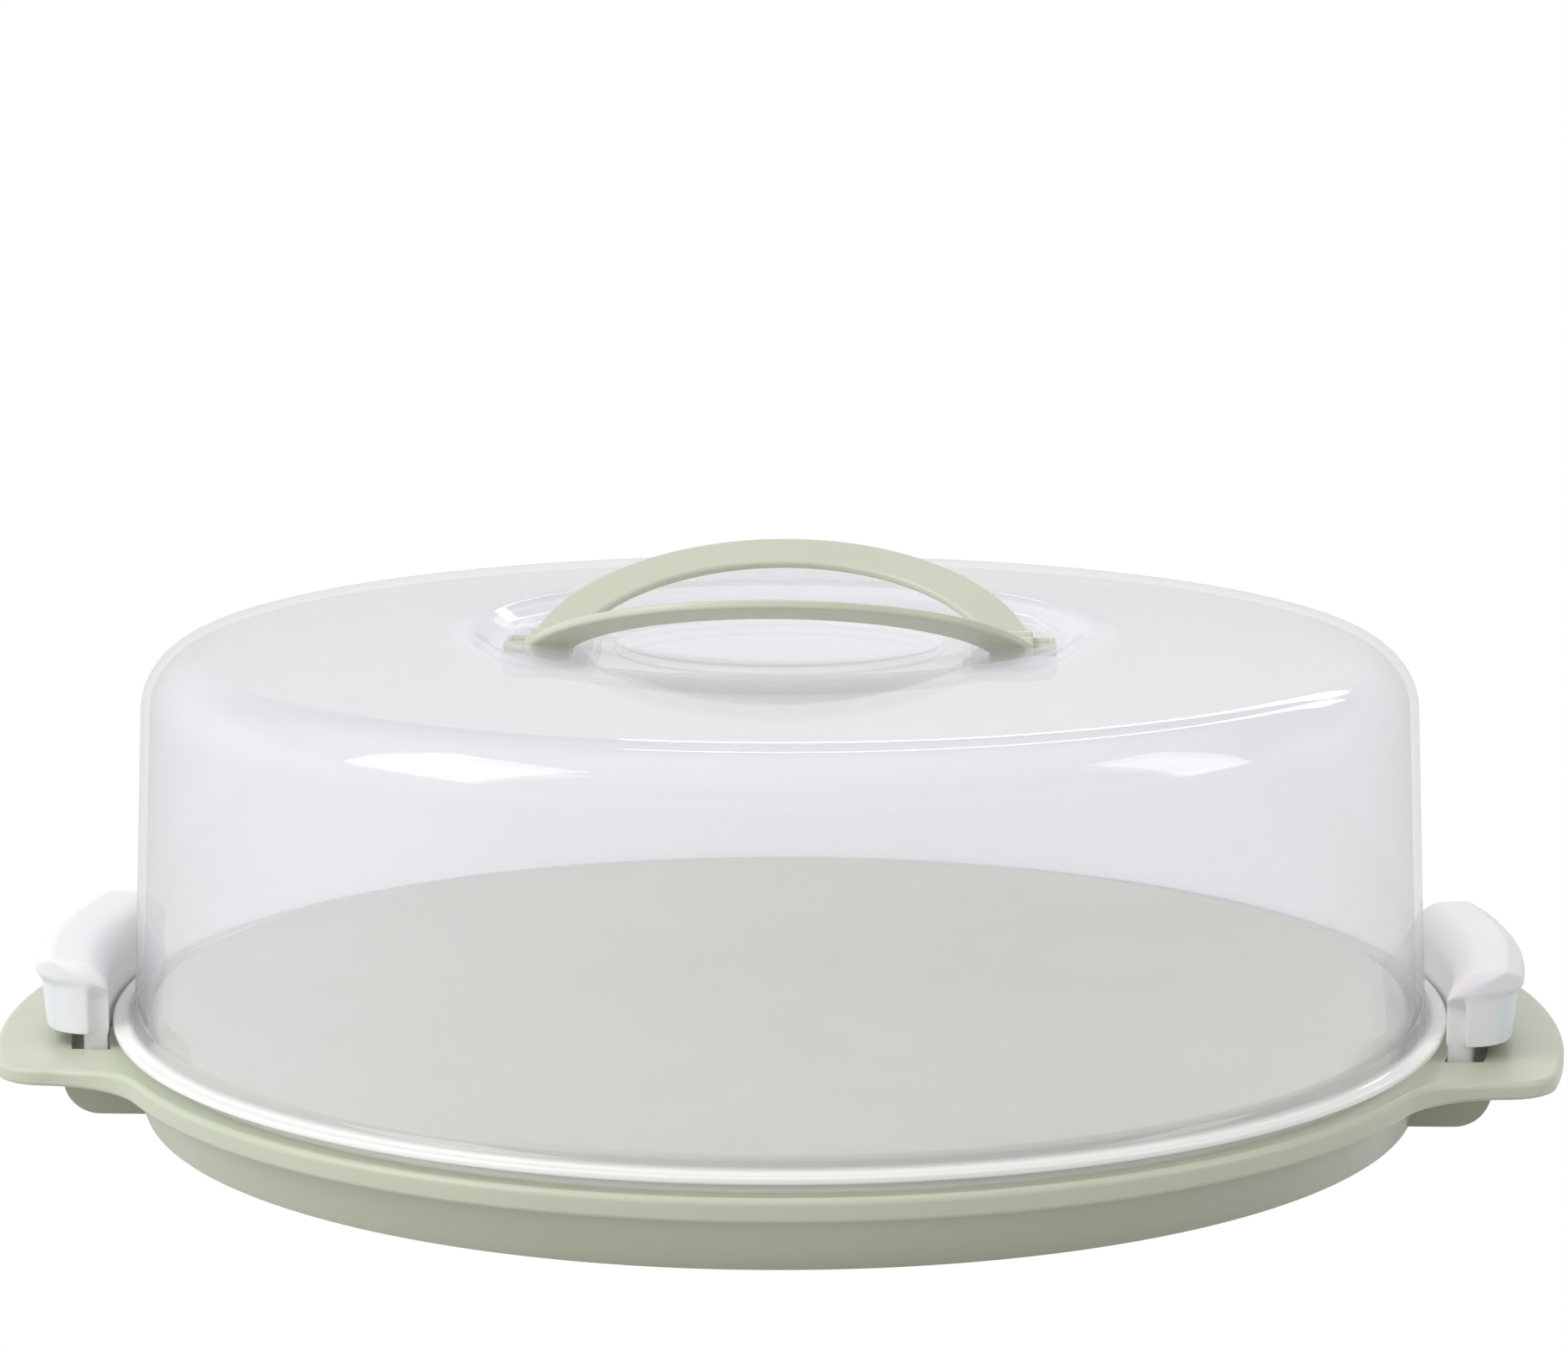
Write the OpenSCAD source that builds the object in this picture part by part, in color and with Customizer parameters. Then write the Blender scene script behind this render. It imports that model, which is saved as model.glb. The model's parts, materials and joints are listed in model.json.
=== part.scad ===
// Round cake carrier: a tray with two ears, a clear lid with two bow handles, and two side clips.
// Millimetres. The origin is the middle of the tray's foot, +Z up, and the clips lie on the X axis.

/* [Tray] */
// How far the tray's rim stands out from the lid's wall
rim_over = 7; // [6.2:0.1:10]
// Height of the rim's crest above the table
rim_h = 17.6; // [15:0.1:22]
// Height of the rim band, from its lower edge to its crest
band_h = 5; // [3.5:0.1:6]
// Drop from the rim's crest to the ledge that carries the lid
ledge_drop = 1; // [0.4:0.1:1.8]
// How far the foot on the table lies in from the rim
foot_in = 9.3; // [8.5:0.1:18]
// Height of the cake plate above the ledge
plate_rise = 7; // [3:0.5:12]
// Gap between the edge of the cake plate and the lid's wall
plate_gap = 1.7; // [0.8:0.1:5]
// Wall thickness of the tray
tray_wall = 2.2; // [1.6:0.1:2.6]
// Number of stiffening ribs under the cake plate
rib_count = 12; // [6:1:24]
// Depth of the ribs under the cake plate
rib_depth = 6; // [2:0.5:12]
// Thickness of the ribs under the cake plate
rib_t = 1.6; // [1:0.1:2.4]
// Radius that the ribs start at
rib_start_r = 30; // [10:1:60]
// How far the skirt's top lies in from the rim
skirt_in = 3.8; // [3.4:0.1:5]

/* [Ears] */
// How far the ears reach out from the rim
ear_reach = 24.7; // [21.5:0.1:36]
// Half of the angle that the ear's outer edge covers
ear_half_angle = 15; // [12:0.5:18]
// Corner radius of the ears in plan
ear_corner_r = 13; // [8:0.5:16]
// Radius of the hollow curve that blends each ear into the rim
ear_blend_r = 28; // [15:1:40]

/* [Lid] */
// Outside radius of the lid's wall at its foot
lid_r = 151.3; // [130:0.1:180]
// How far the wall leans in for each millimetre of height
lid_taper = 0.04; // [0.02:0.005:0.06]
// Height of the lid from its foot to the crest of the recess
lid_h = 93.5; // [70:0.5:150]
// Wall thickness of the lid
lid_wall = 2; // [1.4:0.1:2.6]
// How far the flange stands out from the wall's foot
flange_w = 4.9; // [3:0.1:5]
// Thickness of the flange
flange_t = 1.6; // [1:0.1:2.5]
// Height of the flange's underside above the lid's foot
flange_lift = 3.1; // [2:0.1:5]
// Radius of the shoulder between wall and dome
shoulder_r = 14; // [6:0.5:20]
// Slope of the dome, in degrees
dome_slope = 2.8; // [1:0.1:4]
// Radius of the recess that the handles stand in
recess_r = 72; // [70:0.5:85]
// Depth of the recess
recess_depth = 3.2; // [2:0.1:5]
// Radius of the disc in the middle of the recess
disc_r = 38; // [15:0.5:40]
// How far the disc lies below the recess's floor
disc_drop = 0.9; // [0.4:0.1:1.4]

/* [Handles] */
// Half of the handle's length over its hubs
handle_half = 59; // [54:0.5:62]
// Height of the handle's bow above its pins, in its own plane
handle_rise = 49; // [40:0.5:52]
// Width of the handle's band at its middle
handle_w = 11.8; // [8:0.2:14]
// Width of the handle's band at its ends
handle_end_w = 10.3; // [8:0.1:11]
// Thickness of the handle's band
handle_t = 2.2; // [1.8:0.1:2.6]
// Angle of the resting handles above the horizontal
handle_rest = 21; // [18:0.5:30]
// Distance of each handle's pins from the lid's middle line
handle_offset = 4.5; // [4:0.1:6]
// Radius of the hubs at the handle's ends
hub_r = 3; // [2.4:0.1:3.4]
// Radius of the handle's stub pins
handle_pin_r = 1.5; // [1:0.1:1.8]
// Space between the hub's end and the outer wall of the well
well_space = 3.6; // [1:0.1:5]
// Half of the well's width across the pins
well_half_y = 13.5; // [12:0.5:16]
// Space under the hub in the well
well_clear = 0.8; // [0.4:0.1:2]

/* [Clips] */
// Half of the clip's width along the rim
clip_half = 40; // [39:0.5:44]
// Depth of the clip from its inner face to its outer face, at its top
clip_depth = 16.4; // [15:0.1:18.5]
// Height of the clip's top above the ledge
clip_rise = 21; // [17:0.5:25]
// How far the flap leans in from its top to its lower edge
flap_lean = 2.3; // [0:0.1:4]
// Height of the flap's lower edge above the ledge
flap_gap = 3.6; // [3.4:0.1:6]
// Wall thickness of the clip
clip_wall = 2.2; // [1.6:0.1:2.6]
// Gap between the lid's flange and the clip's inner face
clip_clear = 1; // [0.4:0.1:1.2]
// Half of the width of the clip's leg
leg_half = 37; // [30:0.5:38]
// Thickness of the clip's leg
leg_t = 5.4; // [3:0.1:6]
// Height of the clip's hinge pin above the table
hinge_z = 9.5; // [8.5:0.1:10]
// Radius of the hub round the clip's hinge
clip_hub_r = 3.2; // [2.6:0.1:3.6]
// Radius of the clip's stub pins
clip_pin_r = 1.6; // [1:0.1:2]
// Height of the underside of the pods under the ears above the table
pod_floor_z = 2.2; // [1:0.1:3]
// Rounding of the lower outer edge of the pods
pod_corner_r = 8; // [4:0.5:9]
// Height of the clip's head, above its flap
head_h = 5; // [4.6:0.1:6]
// How far the head stands out from the flap
head_out = 1.4; // [0.6:0.1:1.8]
// Rounding of the head's inner top edge
head_corner_r = 7.5; // [4:0.5:8]
// Corner radius of the clip in plan
clip_corner_r = 9; // [5:0.5:12]
// Room for the clip's leg in its slot when the clip is open
slot_room = 2.9; // [2.6:0.1:4]

/* [Hidden] */
$fn = 96;
sage = [0.77, 0.78, 0.70];
clear = [0.91, 0.90, 0.93, 0.4];
frosted = [0.88, 0.88, 0.90];
over = 0.01;                                 // overlap that joins two shapes into one
edge_r = 0.4;                                // rounding of thin moulded edges
soft_edge_r = 0.6;                           // rounding of thicker moulded edges
rest_gap = 0.3;                              // gap between pieces that rest on each other
pin_clear = 0.06;                            // radial clearance of a pin in its hole
pin_end_gap = 0.3;                           // gap at the end of a pin
rim_r = lid_r + rim_over;
foot_r = rim_r - foot_in;
ear_r = rim_r + ear_reach;
ledge_z = rim_h - ledge_drop;
band_z = rim_h - band_h;
plate_z = ledge_z + plate_rise;
lid_z = ledge_z + rest_gap;
flange_r = lid_r + flange_w;
plate_r = lid_r - lid_taper * (plate_z - lid_z) - lid_wall - plate_gap;
crest_z = lid_z + lid_h;
floor_z = crest_z - recess_depth;
disc_z = floor_z - disc_drop;
plate_edge_r = 1.4;                          // rounding of the cake plate's edge
band_lap = 1;                                // overlap of the tray's floor with the rim band
recess_ramp = 4.5;                           // width of the slope down into the recess
recess_edge_r = 2.5;                         // rounding at the top and foot of that slope
foot_fillet_r = 3.6;                         // hollow rounding between the lid's wall and its flange
disc_ramp = 0.6;                             // width of the step round the disc

// Radius of a circle through an arc's two ends and its top
function bow_r(half, rise) = (half * half + rise * rise) / (2 * rise);
outer_bow_r = bow_r(handle_half, handle_rise);
inner_half = handle_half - handle_end_w;
inner_rise = handle_rise - handle_w;
inner_bow_r = bow_r(inner_half, inner_rise);
well_inner_space = 4;                        // space between the hub and the inner wall of the well

// The well is as deep as the hub needs, and just long enough for the resting handle to clear its edge.
well_t = lid_wall;
handle_z = floor_z + rest_gap + handle_t / 2 / cos(handle_rest)
    - (well_half_y - handle_offset) * tan(handle_rest);
well_floor_z = handle_z - hub_r - well_clear;
well_x0 = inner_half - well_inner_space;
well_x1 = handle_half + well_space;
well_outer_corner = 6;
well_inner_corner = 1.5;

clip_in_r = flange_r + clip_clear;
clip_r = clip_in_r + clip_depth;
leg_inset = 0.3;                             // how far the leg stands out from the hood's inner face
clip_top_z = ledge_z + clip_rise;
flap_z = ledge_z + flap_gap;
leg_x = clip_in_r + leg_inset;
leg_r = leg_x + leg_t;
hinge_in = 1;                                // how far the hinge pin lies outside the leg's inner face
hinge_x = leg_x + hinge_in;
hub_half = 30;                               // half of the hub's length
slot_side = 1.5;                             // room beside the leg in its slot
slot_half = leg_half + slot_side;
slot_r = leg_r + slot_room;
hub_room = 2.4;                              // how far the room for the hub reaches in under the ledge
pod_end = 3;                                 // thickness of the pod's end walls
crown_drop = 2.4;                            // height of the slope at the clip's outer top edge
crown_in = 4;                                // depth of that slope
crown_r = 2;                                 // rounding of its corners
head_drop = 1;                               // fall of the head's top towards the lid
neck_h = 1.4;                                // height of the slope from the head in to the flap
end_wall = 1.5;                              // how far the flap's end walls lap over the leg's outer face
recess_in = 1.1;                             // how far the end recess stops short of the leg's outer face
recess_top = 6;                              // height from the end recess to the clip's top
recess_rise = 3;                             // rise of the end recess's top, out from the leg
leg_corner_r = 2;                            // rounding of the leg's outer edges

// Points of an arc that rounds the corner b between a and c
function unit(v) = v / norm(v);
function corner_arc(a, b, c, r, n) =
    let (
        u = unit(a - b),
        v = unit(c - b),
        half = acos(u * v) / 2,
        centre = b + unit(u + v) * r / sin(half),
        start = b + u * r / tan(half) - centre,
        turn = cross(b - a, c - b) > 0 ? 1 : -1,
        a0 = atan2(start.y, start.x),
        sweep = turn * (180 - 2 * half)
    )
    [for (i = [0:n]) centre + r * [cos(a0 + sweep * i / n), sin(a0 + sweep * i / n)]];
// An outline from corners [x, y, radius], with each corner rounded to its radius
function xy(p) = [p[0], p[1]];
function rounded(corners, n = 6) =
    let (m = len(corners))
    [for (i = [0:m - 1])
        let (p = corners[i])
        each p[2] > 0
            ? corner_arc(xy(corners[(i + m - 1) % m]), xy(p), xy(corners[(i + 1) % m]), p[2], n)
            : [xy(p)]];
function polar(r, a) = [r * cos(a), r * sin(a)];

// The ear's corner circle and the hollow blend circle touch each other
corner_dist = ear_r - ear_corner_r;
blend_dist = rim_r + ear_blend_r;
touch = ear_corner_r + ear_blend_r;
blend_angle = ear_half_angle
    + acos((corner_dist ^ 2 + blend_dist ^ 2 - touch ^ 2) / (2 * corner_dist * blend_dist));
corner_c = polar(corner_dist, ear_half_angle);
blend_c = polar(blend_dist, blend_angle);
to_blend = blend_c - corner_c;
touch_angle = atan2(to_blend.y, to_blend.x);

// Points along an arc, none of them at its ends, so that arcs can follow each other
function arc(c, r, a0, a1, n) = [for (i = [0:n - 1]) c + polar(r, a0 + (a1 - a0) * (i + 0.5) / n)];
// A quarter of the tray's outline, from the middle of an ear round to the Y axis, drawn in by inset
function quarter(inset) = concat(
    arc([0, 0], ear_r - inset, 0, ear_half_angle, 6),
    arc(corner_c, ear_corner_r - inset, ear_half_angle, touch_angle, 8),
    arc(blend_c, ear_blend_r + inset, 180 + touch_angle, 180 + blend_angle, 9),
    arc([0, 0], rim_r - inset, blend_angle, 90, 25)
);

module outline(inset) {
    points = quarter(inset);
    last = len(points) - 1;
    polygon(concat(
        points,
        [for (i = [last:-1:0]) [-points[i].x, points[i].y]],
        [for (i = [0:last]) -points[i]],
        [for (i = [last:-1:0]) [points[i].x, -points[i].y]]
    ));
}

module band() {
    translate([0, 0, band_z])
        linear_extrude(band_h)
            difference() {
                outline(0);
                outline(tray_wall);
            }
}

// The part of a ring at the +X side that lies within half of the X axis, from its profile
module ring_part(half) {
    intersection() {
        rotate_extrude($fn = 256)
            children();
        translate([0, -half, 0])
            cube([ear_r, 2 * half, crest_z]);
    }
}

// The pod under the ear, with the slot for the clip's leg and the room for its hub
module pod() {
    skirt_slope = (foot_in - skirt_in) / band_z;
    ring_part(slot_half + pod_end)
        polygon(rounded([
            [foot_r + skirt_slope * pod_floor_z - tray_wall / 2, pod_floor_z, 0],
            [slot_r + tray_wall, pod_floor_z, pod_corner_r],
            [slot_r + tray_wall, ledge_z - tray_wall / 2, 0],
            [rim_r - skirt_in - tray_wall / 2, ledge_z - tray_wall / 2, 0]
        ], 12));
}

module pod_room() {
    ring_part(slot_half)
        polygon(rounded([
            [clip_in_r - hub_room, pod_floor_z + tray_wall, 0],
            [slot_r, pod_floor_z + tray_wall, pod_corner_r - tray_wall],
            [slot_r, 2 * rim_h, 0],
            [clip_in_r, 2 * rim_h, 0],
            [clip_in_r, band_z, 0],
            [clip_in_r - hub_room, band_z, 0]
        ], 12));
    translate([hinge_x, 0, hinge_z])
        rotate([90, 0, 0])
            cylinder(r = clip_pin_r + pin_clear, h = 2 * (slot_half + pod_end / 2), center = true);
}

module base_tray() {
    skirt_r = rim_r - skirt_in;
    body_r = rim_r - band_lap;
    color(sage)
    difference() {
        union() {
            rotate_extrude($fn = 256)
                polygon(rounded([
                    [0, plate_z - tray_wall, 0],
                    [plate_r - tray_wall, plate_z - tray_wall, soft_edge_r],
                    [plate_r - tray_wall, ledge_z - tray_wall, soft_edge_r],
                    [skirt_r - tray_wall, ledge_z - tray_wall, soft_edge_r],
                    [foot_r - tray_wall, 0, 0],
                    [foot_r, 0, soft_edge_r],
                    [skirt_r, band_z, 0],
                    [body_r, band_z, 0],
                    [body_r, ledge_z, 0],
                    [plate_r, ledge_z, soft_edge_r],
                    [plate_r, plate_z, plate_edge_r],
                    [0, plate_z, 0]
                ]));
            translate([0, 0, ledge_z - tray_wall])
                linear_extrude(tray_wall)
                    difference() {
                        outline(band_lap / 2);
                        circle(r = body_r - tray_wall, $fn = 256);
                    }
            band();
            for (side = [0, 1])
                mirror([side, 0, 0])
                    pod();
            for (i = [0:rib_count - 1])
                rotate([0, 0, 360 / rib_count * (i + 0.5)])
                    translate([rib_start_r, -rib_t / 2, plate_z - tray_wall - rib_depth])
                        cube([plate_r - tray_wall / 2 - rib_start_r, rib_t, rib_depth + over]);
        }
        for (side = [0, 1])
            mirror([side, 0, 0])
                pod_room();
    }
}

module rounded_box_2d(x0, x1, half_y, inner_corner, outer_corner) {
    polygon(rounded([
        [x0, -half_y, inner_corner],
        [x1, -half_y, outer_corner],
        [x1, half_y, outer_corner],
        [x0, half_y, inner_corner]
    ], 12));
}

module lid_cover() {
    wall_top_r = lid_r - lid_taper * lid_h;
    slope = tan(dome_slope);
    // Height at which the wall's line and the dome's line cross
    top_z = crest_z - slope * (wall_top_r - recess_r);
    flange_z = lid_z + flange_lift;
    recess_foot_r = recess_r - recess_ramp;
    color(clear)
    difference() {
        union() {
            rotate_extrude($fn = 256)
                polygon(rounded([
                    [lid_r - lid_wall, lid_z, edge_r],
                    [lid_r, lid_z, edge_r],
                    [lid_r - lid_taper * flange_lift, flange_z, edge_r],
                    [flange_r, flange_z, soft_edge_r],
                    [flange_r, flange_z + flange_t, soft_edge_r],
                    [lid_r - lid_taper * (flange_lift + flange_t), flange_z + flange_t, foot_fillet_r],
                    [wall_top_r, top_z, shoulder_r],
                    [recess_r, crest_z, recess_edge_r],
                    [recess_foot_r, floor_z, recess_edge_r],
                    [disc_r + disc_ramp, floor_z, edge_r],
                    [disc_r, disc_z, edge_r],
                    [0, disc_z, 0],
                    [0, disc_z - lid_wall, 0],
                    [disc_r + disc_ramp / 2, disc_z - lid_wall, edge_r],
                    [disc_r + disc_ramp * 3 / 2, floor_z - lid_wall, edge_r],
                    [recess_foot_r + disc_ramp, floor_z - lid_wall, recess_edge_r],
                    [recess_r + disc_ramp, crest_z - lid_wall, recess_edge_r],
                    [wall_top_r - lid_wall, top_z - lid_wall, shoulder_r - lid_wall]
                ], 10));
            for (side = [0, 1])
                mirror([side, 0, 0])
                    translate([0, 0, well_floor_z - well_t])
                        linear_extrude(floor_z - lid_wall / 2 - well_floor_z + well_t)
                            rounded_box_2d(well_x0 - well_t, well_x1 + well_t, well_half_y + well_t,
                                           well_inner_corner + well_t, well_outer_corner + well_t);
        }
        for (side = [0, 1])
            mirror([side, 0, 0]) {
                translate([0, 0, well_floor_z])
                    linear_extrude(lid_h)
                        rounded_box_2d(well_x0, well_x1, well_half_y, well_inner_corner, well_outer_corner);
                for (end = [-1, 1])
                    translate([well_x1 - well_t / 2, end * handle_offset, handle_z])
                        rotate([0, 90, 0])
                            cylinder(r = handle_pin_r + pin_clear, h = 2 * well_t);
            }
    }
}

// A handle in its own plane: X along the pins, Y up the bow
module handle() {
    linear_extrude(handle_t, center = true)
        difference() {
            intersection() {
                translate([0, handle_rise - outer_bow_r])
                    circle(r = outer_bow_r, $fn = 256);
                translate([-2 * handle_half, 0])
                    square([4 * handle_half, 2 * handle_rise]);
            }
            translate([0, inner_rise - inner_bow_r])
                circle(r = inner_bow_r, $fn = 256);
        }
    for (side = [0, 1])
        mirror([side, 0, 0])
            rotate([0, 90, 0]) {
                translate([0, 0, inner_half])
                    cylinder(r = hub_r, h = handle_end_w);
                translate([0, 0, handle_half - over])
                    cylinder(r = handle_pin_r, h = well_space + well_t - pin_end_gap + over);
            }
}

module placed_handle() {
    color(sage)
    translate([0, handle_offset, handle_z])
        rotate([handle_rest, 0, 0])
            handle();
}

module handle_rear() {
    placed_handle();
}

module handle_front() {
    mirror([0, 1, 0])
        placed_handle();
}

// A ring part in plan at the +X side, with its two outer corners rounded
module arc_plate(r0, r1, half, corner_r) {
    corner_y = half - corner_r;
    corner_x = sqrt((r1 - corner_r) ^ 2 - corner_y ^ 2);
    intersection() {
        difference() {
            circle(r = r1, $fn = 256);
            circle(r = r0, $fn = 256);
        }
        union() {
            translate([0, -half])
                square([corner_x, 2 * half]);
            polygon([[0, 0], [2 * corner_x, -2 * corner_y], [2 * corner_x, 2 * corner_y]]);
            for (end = [-1, 1])
                translate([corner_x, end * corner_y])
                    circle(r = corner_r);
        }
    }
}

// The clip in place at the +X side
module clip() {
    flap_r = clip_r - flap_lean;
    neck_r = clip_r - head_out;
    head_z = clip_top_z - head_h;
    hollow_half = leg_half - end_wall;
    low_z = flap_z - clip_wall;
    recess_z = clip_top_z - recess_top;
    color(frosted)
    union() {
        difference() {
            // The head and the flap
            intersection() {
                rotate_extrude($fn = 256)
                    polygon(rounded([
                        [clip_in_r, flap_z, 0],
                        [flap_r, flap_z, soft_edge_r],
                        [neck_r, head_z - neck_h, crown_r],
                        [clip_r, head_z, soft_edge_r],
                        [clip_r, clip_top_z - crown_drop, crown_r],
                        [clip_r - crown_in, clip_top_z, crown_r],
                        [clip_in_r, clip_top_z - head_drop, head_corner_r]
                    ]));
                translate([0, 0, low_z])
                    linear_extrude(clip_rise + clip_wall)
                        arc_plate(clip_in_r - clip_wall, clip_r + over, clip_half, clip_corner_r);
            }
            // The hollow between the flap and the leg
            intersection() {
                rotate_extrude($fn = 256)
                    polygon([
                        [leg_r, low_z],
                        [flap_r - clip_wall, low_z],
                        [neck_r - clip_wall, head_z - neck_h],
                        [clip_r - crown_in, clip_top_z - clip_wall - edge_r],
                        [leg_r, clip_top_z - clip_wall - edge_r - head_drop]
                    ]);
                translate([0, 0, low_z])
                    linear_extrude(clip_rise + clip_wall)
                        arc_plate(leg_x, clip_r, hollow_half, clip_corner_r - clip_wall);
            }
            // The recess at each end, beside the leg
            intersection() {
                translate([0, 0, low_z])
                    cylinder(r = leg_r - recess_in, h = clip_rise, $fn = 256);
                for (end = [0, 1])
                    mirror([0, end, 0])
                        rotate([90, 0, 90])
                            linear_extrude(clip_r)
                                polygon([
                                    [leg_half, low_z],
                                    [clip_half + clip_wall, low_z],
                                    [clip_half + clip_wall, recess_z + recess_rise],
                                    [leg_half, recess_z - recess_rise]
                                ]);
            }
        }
        translate([0, 0, hinge_z])
            linear_extrude(clip_top_z - head_corner_r - hinge_z)
                arc_plate(leg_x, leg_r, leg_half, leg_corner_r);
        translate([hinge_x, 0, hinge_z])
            rotate([90, 0, 0]) {
                cylinder(r = clip_hub_r, h = 2 * hub_half, center = true);
                cylinder(r = clip_pin_r, h = 2 * (slot_half + pod_end / 2 - pin_end_gap), center = true);
            }
    }
}

module clip_right() {
    clip();
}

module clip_left() {
    mirror([1, 0, 0])
        clip();
}

base_tray();
lid_cover();
handle_front();
handle_rear();
clip_left();
clip_right();
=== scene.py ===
"""A round cake carrier: sage tray with two ears, clear lid with two bow handles, two frosted clips."""

import json
import math

import bmesh
import bpy
from mathutils import Matrix, Vector


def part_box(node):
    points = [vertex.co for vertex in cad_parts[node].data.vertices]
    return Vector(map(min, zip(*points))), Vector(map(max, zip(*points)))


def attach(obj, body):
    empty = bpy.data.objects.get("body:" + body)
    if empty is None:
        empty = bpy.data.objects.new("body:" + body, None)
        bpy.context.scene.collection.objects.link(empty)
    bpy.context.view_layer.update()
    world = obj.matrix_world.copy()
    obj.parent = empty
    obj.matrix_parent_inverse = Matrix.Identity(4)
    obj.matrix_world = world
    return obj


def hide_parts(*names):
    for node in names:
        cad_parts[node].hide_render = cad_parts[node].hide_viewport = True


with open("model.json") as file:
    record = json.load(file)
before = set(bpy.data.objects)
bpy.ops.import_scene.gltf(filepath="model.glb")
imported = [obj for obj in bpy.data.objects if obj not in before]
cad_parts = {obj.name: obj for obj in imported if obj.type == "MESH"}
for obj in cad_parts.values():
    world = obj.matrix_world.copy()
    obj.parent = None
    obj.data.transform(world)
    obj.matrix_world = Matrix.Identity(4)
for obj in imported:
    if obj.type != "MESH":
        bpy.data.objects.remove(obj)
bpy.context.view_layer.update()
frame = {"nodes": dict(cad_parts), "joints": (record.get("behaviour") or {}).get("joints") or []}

MM = 0.001
Z_AXIS = Vector((0, 0, 1))

# Places that the frame gives
tray_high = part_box("base_tray")[1]
lid_low, lid_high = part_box("lid_cover")
hinge_at = {j["name"]: Vector(j["pos_m"]) for j in frame["joints"] if "pos_m" in j}

# Tray
ear_r = 183 * MM
rim_r = 158.3 * MM
rim_z = 17.6 * MM
band_z = 12.6 * MM
ledge_z = 16.6 * MM
plate_z = tray_high.z
foot_r = 149 * MM
skirt_r = 154.5 * MM
tray_wall = 2.2 * MM
ear_half_angle = math.radians(15)
ear_corner_r = 13 * MM
ear_blend_r = 28 * MM
slot_r0, slot_r1 = 157.2 * MM, 165.8 * MM
slot_half = 38.5 * MM
hub_room = 2.4 * MM
pod_half = 41.5 * MM
pod_floor_z, pod_corner_r = 2.2 * MM, 8 * MM
crest_fade = 9 * MM
rib_count = 12
rib_depth, rib_t = 6 * MM, 1.6 * MM
rib_start_r = 30 * MM

# Lid
lid_r = 151.3 * MM
lid_z = lid_low.z
lid_taper = 0.04
lid_wall = 2 * MM
flange_r = lid_high.x
flange_z = lid_z + 3.1 * MM
flange_t = 1.6 * MM
shoulder_r = 14 * MM
crest_z = 110.4 * MM
dome_slope = math.tan(math.radians(2.8))
recess_r, recess_depth = 72 * MM, 3.2 * MM
recess_ramp = 4.5 * MM
floor_z = crest_z - recess_depth
disc_r, disc_drop = 38 * MM, 0.9 * MM
disc_ramp = 0.6 * MM
plate_r = lid_r - lid_taper * (plate_z - lid_z) - lid_wall - 1.7 * MM

# Clips
clip_half = 40 * MM
clip_top_z = 37.6 * MM
head_corner_r = 7.5 * MM
head_corner_at = 164.7 * MM
end_top_r, end_plan_r = 5 * MM, 11.5 * MM
flap_low_z, flap_low_r = 20.2 * MM, 171.3 * MM
neck_z, neck_r = 31.2 * MM, 172.2 * MM
head_z, head_r = 32.6 * MM, 173.6 * MM
voxel = 0.45 * MM

# Handles, and the wells that their ends turn in
handle_half, handle_rise = 59 * MM, 49 * MM
handle_w, handle_end_w = 11.8 * MM, 10.3 * MM
handle_t = 2.2 * MM
handle_rest = math.radians(21)
handle_z = hinge_at["rear_handle_fold"].z
handle_offset = hinge_at["rear_handle_fold"].y
hub_r, handle_pin_r = 3 * MM, 1.5 * MM
well_x0, well_x1 = 44.7 * MM, 62.6 * MM
well_half = 13.5 * MM
well_floor_z = handle_z - hub_r - 0.8 * MM

LID_STEPS = 256
RIM_STEPS = 48


def rounded_chain(bm, corners, closed=False, plane="XZ", segments=6):
    """Edges through corners (a, b, radius), each rounded to its radius. Returns the two end vertices."""
    place = {"XZ": lambda a, b: (a, 0, b), "XY": lambda a, b: (a, b, 0)}[plane]
    verts = [bm.verts.new(place(a, b)) for a, b, _ in corners]
    pairs = list(zip(verts, verts[1:])) + ([(verts[-1], verts[0])] if closed else [])
    for pair in pairs:
        bm.edges.new(pair)
    count = len(corners)
    for i, (vert, (_, _, radius)) in enumerate(zip(verts, corners)):
        if radius <= 0:
            continue
        here = Vector(corners[i][:2])
        back = (Vector(corners[i - 1][:2]) - here).normalized()
        ahead = (Vector(corners[(i + 1) % count][:2]) - here).normalized()
        reach = radius / math.tan(back.angle(ahead) / 2)
        bmesh.ops.bevel(
            bm, geom=[vert], affect="VERTICES", offset=reach, offset_type="OFFSET",
            segments=segments, profile=0.5, material=-1, clamp_overlap=False,
        )
    return verts[0], verts[-1]


def turn_chain(bm, steps=LID_STEPS):
    """Spins every loose edge of the bmesh once round the Z axis."""
    loose = [e for e in bm.edges if not e.link_faces]
    geom = list({v for e in loose for v in e.verts}) + loose
    bmesh.ops.spin(
        bm, geom=geom, cent=(0, 0, 0), axis=(0, 0, 1), angle=math.tau, steps=steps, use_merge=True
    )
    bmesh.ops.remove_doubles(bm, verts=bm.verts[:], dist=1e-7)


def open_edges(bm, at_z, reach=1e-6):
    """The edges at one height that have a single face or none."""
    return [
        e for e in bm.edges
        if len(e.link_faces) < 2 and all(abs(v.co.z - at_z) < reach for v in e.verts)
    ]


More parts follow.
